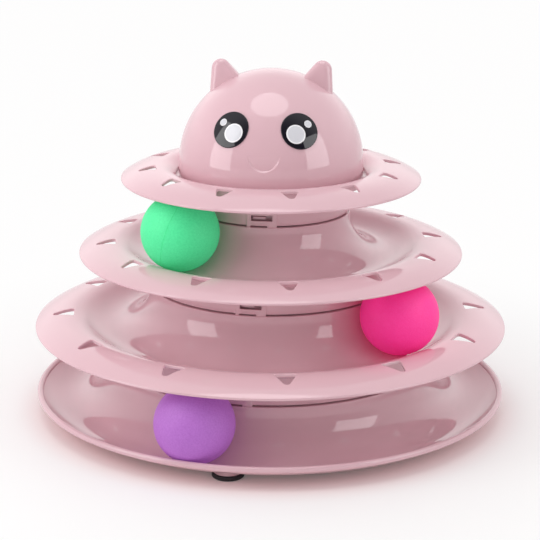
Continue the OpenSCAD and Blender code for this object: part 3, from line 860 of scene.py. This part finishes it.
def on_dome(points, azimuth, rise):
    """Turns points whose x is up from the dome's surface to an azimuth and angle on the head."""
    e = math.radians(rise)
    up, side, along = np.moveaxis(points, -1, 0)
    x = up * math.cos(e) - along * math.sin(e)
    z = up * math.sin(e) + along * math.cos(e)
    return at_azimuth(x, side, z + dome_z, head_yaw + azimuth)


def disc_mesh(name, r_low, r_high, r, azimuth, rise, edge):
    """A lens between two spheres round the dome's centre, with its upper edge rounded. Each
    point keeps its distance from the middle, as a share of the lens's radius."""
    top_r, low_r = np.linspace(0, r - edge, 12), np.linspace(r, 0, 8)
    t = np.radians(np.linspace(0, 90, 6))[1:]
    side = np.sqrt(r_high**2 - (r - edge) ** 2)
    profile = [
        np.stack([np.sqrt(r_high**2 - top_r**2), top_r], -1),
        np.stack([side - edge * (1 - np.cos(t)), r - edge + edge * np.sin(t)], -1),
        np.stack([np.sqrt(r_low**2 - low_r**2), low_r], -1),
    ]
    up, out = np.concatenate(profile)[:, :, None].transpose(1, 0, 2)
    turn = np.arange(disc_columns) * 2 * math.pi / disc_columns
    points = np.stack([np.repeat(up, disc_columns, 1), out * np.cos(turn), out * np.sin(turn)], -1)
    mesh = Shell().grid(on_dome(points, azimuth, rise), turned=True).mesh(name)
    centre = on_dome(np.array([r_high, 0, 0]), azimuth, rise) / metre
    place = mesh.attributes.new("from_middle", "FLOAT", "POINT")
    at = np.empty(len(mesh.vertices) * 3)
    mesh.vertices.foreach_get("co", at)
    away = np.linalg.norm(at.reshape(-1, 3) - centre, axis=1)
    place.data.foreach_set("value", away / (r / metre))
    return mesh


eye_face_r = head_r + glue_gap + eye_t
eye_meshes = {}
for word, side in (("left", -1), ("right", 1)):
    parts = [("", eye_r, eye_azimuth, eye_rise, head_r + glue_gap, eye_face_r, eye_edge)]
    for size, (azimuth, rise, r) in (("_large_spot", large_spot), ("_small_spot", small_spot)):
        parts.append((size, r, azimuth, rise, eye_face_r, eye_face_r + print_t, spot_edge))
    for size, r, azimuth, rise, low, high, edge in parts:
        node = f"{word}_eye{size}"
        eye_meshes[node] = disc_mesh(f"{node}_skin", low, high, r, side * azimuth, rise, edge)

# %% [markdown]
# Each ball is two half shells that meet at a fine seam. One half has a thin lip that fits into
# the other. A sphere with a dark line would have no real gap, so an outline of the half shell
# is turned round the axis of the seam, and its edges are cut back a little. For each ball the
# table holds its tier, its azimuth on the ring, the azimuth and rise of the seam's axis, and the
# names of its halves, of which the first has the lip.

# %% Balls
ball_lip_h, lip_play, lip_chamfer, seam_edge = 1.6, 0.05, 0.15, 0.18
ball_columns = 120
balls = {
    "purple": (0, -20, (-87, 21), ("front", "back")),
    "pink": (1, 50, (-94, 18), ("front", "back")),
    "green": (2, -46.5, (-22, -15.6), ("right", "left")),
}


def half_outline(lipped):
    """Outline of a half shell above the plane of the seam, from its pole down the outside."""
    r_in, lip_r = ball_r - ball_wall, ball_r - ball_wall / 2
    edge = math.degrees(seam_edge / ball_r)
    step, first = [(ball_r - seam_edge, 0)], 0
    if lipped:
        r, low = lip_r - lip_play, -ball_lip_h
        step += [(r, 0), (r, lip_chamfer + low), (r - lip_chamfer, low), (r_in, low)]
    else:
        deep = ball_lip_h + lip_play
        step += [(lip_r, 0), (lip_r, deep), (r_in, deep)]
        first = math.degrees(math.asin(deep / r_in))
    return np.concatenate([arc((0, 0), ball_r, 90, edge, 60), step, arc((0, 0), r_in, first, 90, 30)])


def half_ball(name, k, azimuth, seam, lipped):
    """One half of a ball, in its place on the track of tier k."""
    outline = half_outline(lipped)
    if not lipped:
        outline = outline[::-1] * [1, -1]
    own = lathe(Shell(), outline[::-1], ball_columns)
    tilt, turn = math.radians(90 - seam[1]), math.radians(seam[0])
    turned = Matrix.Rotation(turn, 3, "Z") @ Matrix.Rotation(tilt, 3, "Y")
    at = on_rings(ring_r(k), azimuth, floors[k] + ball_gap + ball_r)
    return Shell().add(own.points[0] @ np.array(turned).T + at, own.quads[0]).mesh(name)


# %% [markdown]
# Materials. A small class wraps a shader socket, so that the maths of a pattern reads like any
# other Python line: each operation adds its node. One method makes any other node, and `fill`
# gives a node's sockets their values or links.

# %% Shader helper
def fill(node, **sockets):
    """Fills sockets that are given by their name, or by _ and their number, such as _0."""
    for key, value in sockets.items():
        socket = node.inputs[int(key[1:]) if key[0] == "_" else key.replace("_", " ")]
        if isinstance(value, Value):
            Value.tree.links.new(value.socket, socket)
        else:
            socket.default_value = value


def operator(operation, swapped=False):
    """A method that adds the maths node for a Python operator."""

    def method(self, other):
        a, b = (other, self) if swapped else (self, other)
        return Value.node("ShaderNodeMath", {"operation": operation}, _0=a, _1=b)

    return method


class Value:
    """A socket of a material's node tree that can be added, multiplied and compared."""

    tree = None

    def __init__(self, socket):
        self.socket = socket

    @classmethod
    def node(cls, kind, settings=None, output=0, **sockets):
        """One output of a new node of a type, with its settings and its sockets filled."""
        made = cls.tree.nodes.new(kind)
        for name, value in (settings or {}).items():
            setattr(made, name, value)
        fill(made, **sockets)
        return cls(made.outputs[output])

    __add__, __radd__ = operator("ADD"), operator("ADD", swapped=True)
    __sub__, __rsub__ = operator("SUBTRACT"), operator("SUBTRACT", swapped=True)
    __mul__, __rmul__ = operator("MULTIPLY"), operator("MULTIPLY", swapped=True)
    __gt__ = operator("GREATER_THAN")


def linear(colour):
    """A colour as a picture writes it, turned into the linear values that shaders use."""
    c = np.asarray(colour, float)
    return (*np.where(c <= 0.04045, c / 12.92, ((c + 0.055) / 1.055) ** 2.4), 1)


def mixed(share, a, b):
    """Between two colours by a share."""
    return Value.node("ShaderNodeMix", {"data_type": "RGBA"}, output=2, _0=share, _6=a, _7=b)


def two_tone(shader, share, deep, pale):
    """Colours a surface between two tones, by a share that varies over it."""
    fill(shader, Base_Color=mixed(share, linear(deep), linear(pale)))


def bumpy(shader, strength, distance, height):
    """Bends a surface's reflections as bumps of a height in metres would."""
    bump = Value.node("ShaderNodeBump", Strength=strength, Distance=distance, Height=height)
    fill(shader, Normal=bump)


def noise(scale, detail, rough=0.5):
    """Noise on object coordinates, between 0 and 1. The scale is in lumps per metre."""
    place = Value.node("ShaderNodeTexCoord", output=3)
    return Value.node("ShaderNodeTexNoise", Vector=place, Scale=scale, Detail=detail, Roughness=rough)


def material(name, paint):
    """A new material; paint gets its shader and fills in the sockets."""
    made = bpy.data.materials.new(name)
    made.use_nodes = True
    Value.tree = made.node_tree
    paint(made.node_tree.nodes["Principled BSDF"])
    return made


# %% [markdown]
# The pink plastic is glossy polypropylene or ABS: an even pastel colour with a very faint
# cloudiness, a clear reflection that is only a little blurred, and a skin that is never quite
# flat. A very low, wide bump bends the reflections slightly, as on a real moulding. Noise on
# object coordinates needs no unwrapping, and it has no seams.

# %% Pink plastic
def paint_pink(shader):
    two_tone(shader, noise(26, 3), (0.87, 0.715, 0.75), (0.885, 0.73, 0.765))
    fill(shader, IOR=1.5, Roughness=0.035 + 0.04 * noise(60, 4))
    bumpy(shader, 0.1, 0.0004, noise(38, 1))


pink_plastic = material("pink_plastic_gloss", paint_pink)
print("made", pink_plastic.name)

# %% [markdown]
# The balls are light hollow plastic with a matt, slightly grainy skin, so their colour looks
# saturated and their highlight is wide. A fine speckle in colour and bump gives the grain. A
# weak glow of their own colour stands for the light that passes through their thin wall.

# %% Ball plastic
def ball_plastic(name, colour, pale):
    def paint(shader):
        grain, cloud = noise(1100, 2, 0.7), noise(60, 2)
        two_tone(shader, 1.5 * grain + 0.3 * cloud - 0.4, colour, pale)
        fill(shader, IOR=1.46, Roughness=0.5 + 0.2 * grain)
        fill(shader, Emission_Color=linear(colour), Emission_Strength=0.22)
        bumpy(shader, 0.5, 0.0003, grain)

    return material(name, paint)


ball_materials = {
    "purple": ball_plastic("purple_ball_grain", (0.63, 0.36, 0.71), (0.71, 0.45, 0.78)),
    "pink": ball_plastic("pink_ball_grain", (0.94, 0.15, 0.54), (0.99, 0.25, 0.62)),
    "green": ball_plastic("green_ball_grain", (0.24, 0.84, 0.54), (0.34, 0.91, 0.64)),
}
print("made", *(made.name for made in ball_materials.values()))

# %% [markdown]
# The stickers are printed under a clear gloss. The white spots are a little greyer inside
# than along their edge. The feet are soft black rubber.

# %% Stickers and rubber
rim_share = 0.86


def paint_eye(shader):
    two_tone(shader, noise(500, 3), (0.07, 0.055, 0.1), (0.095, 0.08, 0.125))
    fill(shader, Roughness=0.03 + 0.03 * noise(120, 3), Specular_IOR_Level=0.45)


def paint_spot(shader):
    from_middle = Value.node("ShaderNodeAttribute", {"attribute_name": "from_middle"}, output=2)
    two_tone(shader, from_middle > rim_share, (0.86, 0.86, 0.885), (0.97, 0.965, 0.975))
    fill(shader, Roughness=0.12 + 0.05 * noise(200, 2))


def paint_rubber(shader):
    grain = noise(900, 3, 0.6)
    two_tone(shader, grain, (0.13, 0.12, 0.14), (0.19, 0.18, 0.2))
    fill(shader, Roughness=0.5 + 0.25 * grain)
    bumpy(shader, 0.3, 0.0002, grain)


eye_black = material("eye_black_gloss", paint_eye)
eye_white = material("eye_white_print", paint_spot)
rubber = material("black_rubber_soft", paint_rubber)
print("made", eye_black.name, eye_white.name, rubber.name)

# %% [markdown]
# Now every mesh becomes an object that stands for its CAD node and rides on that node's
# body.

# %% Pieces
def piece(node, mesh, body, surface):
    made = bpy.data.objects.new(f"{node}_skin", mesh)
    scene.collection.objects.link(made)
    mesh.materials.append(surface)
    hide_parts(node)
    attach(made, body)


for node, mesh, body in (
    ("base_tray", base_tray, "base"),
    ("lower_tray", lower_tray, "lower_tier"),
    ("upper_tray", upper_tray, "upper_tier"),
    ("top_brim", top_brim, "top_tier"),
    ("head_dome", head, "head"),
):
    piece(node, mesh, body, pink_plastic)

for node, mesh in eye_meshes.items():
    finish, surface = ("eye_white", eye_white) if "spot" in node else ("eye_black", eye_black)
    piece(node, mesh, "head", surface)

for colour, (k, azimuth, seam, halves) in balls.items():
    for half in halves:
        node = f"{colour}_ball_{half}_half"
        mesh = half_ball(f"{node}_skin", k, azimuth, seam, half == halves[0])
        piece(node, mesh, f"{colour}_ball", ball_materials[colour])

for word, azimuth in zip(("front", "right", "back", "left"), foot_azimuths):
    node = f"{word}_foot"
    piece(node, foot_mesh(f"{node}_skin", azimuth), "base", rubber)

# %% [markdown]
# The studio: a wide white floor that keeps the toy's shadow, and a sky with three looks. It
# lights the toy most from low behind it, as a white wall behind a product does. The camera sees
# it plain white. Mirrored, it has a brighter band above the horizon behind the toy, and it is
# dim on the camera's side, where a studio is dark. Away from the toy the camera and the mirror
# images see the floor nearly white. Under the toy the floor's own colour is painted darker and
# pink: painted shade with a painted pink cast, like the light that the plastic throws down.

# %% Floor and sky
floor_half = 12.0
# The pink colour is painted shade and painted bounced pink light on the floor under the toy.
painted_shade_pink, floor_grey, painted_shade_span = (1, 0.66, 0.66, 1), (0.94, 0.93, 0.93, 1), (0.1, 0.14)
white_near, white_gain, white_span = 0.08, 0.88, (0.09, 0.3)
ray_kinds = ("Camera", "Glossy", "Transmission")
lit_base, lit_wall, lit_front = 0.7, 1.1, 0.25
shown_band, shown_front = 0.45, 0.88
behind_span, front_span, low_span = (-0.2, 0.9), (0.1, 0.7), (0, 0.65)
band_start, band_end = (0.02, 0.25), (0.35, 0.75)


def rise_between(value, low, high):
    """A soft step of a value, from 0 at low to 1 at high."""
    smooth = {"interpolation_type": "SMOOTHSTEP"}
    return Value.node("ShaderNodeMapRange", smooth, Value=value, From_Min=low, From_Max=high)


def background_rays():
    """Two numbers, each 1 or 0: whether the camera sees it directly, and whether it is seen
    mirrored or through something. Both are 0 for the rays that light a surface."""
    rays = Value.node("ShaderNodeLightPath").socket.node.outputs
    camera_ray, glossy, passed = (Value(rays[f"Is {way} Ray"]) for way in ray_kinds)
    return camera_ray, glossy + passed


def paint_floor(shader):
    place = Value.node("ShaderNodeTexCoord", output=3)
    from_middle = Value.node("ShaderNodeVectorMath", {"operation": "LENGTH"}, output=1, _0=place)
    # Painted shade and painted pink bounced light: the floor's colour is darker and pinker under the
    # toy.
    painted_shade_colour = mixed(rise_between(from_middle, *painted_shade_span), painted_shade_pink, floor_grey)
    fill(shader, Base_Color=painted_shade_colour, Roughness=0.9, Specular_IOR_Level=0.2)
    glow = Value.node("ShaderNodeEmission", Color=(1, 0.995, 0.995, 1), Strength=1.0)
    direct, mirrored = background_rays()
    white = white_near + white_gain * rise_between(from_middle, *white_span)
    share, lit_floor = (direct + mirrored) * white, Value(shader.outputs[0])
    blend = Value.node("ShaderNodeMixShader", _0=share, _1=lit_floor, _2=glow)
    fill(Value.tree.nodes["Material Output"], Surface=blend)


floor_mesh = bpy.data.meshes.new("floor")
corners = [(x * floor_half, y * floor_half, 0) for x, y in ((-1, -1), (1, -1), (1, 1), (-1, 1))]
floor_mesh.from_pydata(corners, [], [(0, 1, 2, 3)])
floor = bpy.data.objects.new("floor", floor_mesh)
scene.collection.objects.link(floor)
floor_mesh.materials.append(material("floor_white", paint_floor))

world = bpy.data.worlds.new("sky")
scene.world = world
world.use_nodes = True
Value.tree = world.node_tree
way = Value.node("ShaderNodeTexCoord", output=0)
way = Value.node("ShaderNodeSeparateXYZ", Vector=way).socket.node.outputs
back, up = Value(way["Y"]), Value(way["Z"])
behind, front = rise_between(back, *behind_span), rise_between(0 - back, *front_span)
low = 1 - rise_between(up, *low_span)
band = rise_between(up, *band_start) * (1 - rise_between(up, *band_end))
lit = lit_base + lit_wall * behind * low - lit_front * front * low
shown = 1 + shown_band * behind * band - shown_front * front
direct, mirrored = background_rays()
strength = lit + direct * (1 - lit) + mirrored * (shown - lit)
fill(Value.tree.nodes["Background"], Color=(1, 0.99, 0.985, 1), Strength=strength)
print(f"a floor {2 * floor_half:.0f} m wide, and a sky with {len(Value.tree.nodes)} nodes")

# %% [markdown]
# The soft boxes. Each is placed by the way its reflection is seen: a round one high above the
# toy, whose image is on the forehead, a tall, narrow one on the left and a smaller, lower one
# on the right. Each is two lamps, so that its light and its mirror image can have their own
# brightness.

# %% Soft boxes
image_step = 0.01


def soft_box(name, place, size, lit, mirrored, aim):
    """Two area lights that face the toy. One lights it and shows in no mirror image, and the
    other, just in front of it, is only seen mirrored. A lamp's power is its brightness times
    its area times pi."""
    shape = "DISK" if size[0] == size[1] else "RECTANGLE"
    area = size[0] * size[1] * (math.pi / 4 if shape == "DISK" else 1)
    ahead = (Vector(aim) - Vector(place)).normalized()
    for part, strength, step in (("light", lit, 0), ("image", mirrored, image_step)):
        lamp = bpy.data.lights.new(f"{name}_{part}", "AREA")
        lamp.shape, lamp.size, lamp.size_y = shape, size[0], size[1]
        lamp.energy = strength * area * math.pi
        made = bpy.data.objects.new(f"{name}_{part}", lamp)
        made.visible_diffuse, made.visible_glossy = part == "light", part == "image"
        made.location = Vector(place) + step * ahead
        made.rotation_euler = (-ahead).to_track_quat("Z", "Y").to_euler()
        scene.collection.objects.link(made)


soft_box("octagon_box", (-0.05, -0.14, 1.5), (0.9, 0.9), 2.5, 2.7, aim=(-0.05, -0.14, 0.1))
soft_box("left_box", (-0.447, -0.225, 0.355), (0.25, 0.5), 2.1, 3.3, aim=(0, 0, 0.355))
soft_box("right_box", (0.424, -0.267, 0.295), (0.26, 0.33), 0.8, 3.2, aim=(0, 0, 0.295))

# %% [markdown]
# Last come plain colours, as a product picture has them.

# %% View and finish
scene.view_settings.view_transform = "Standard"
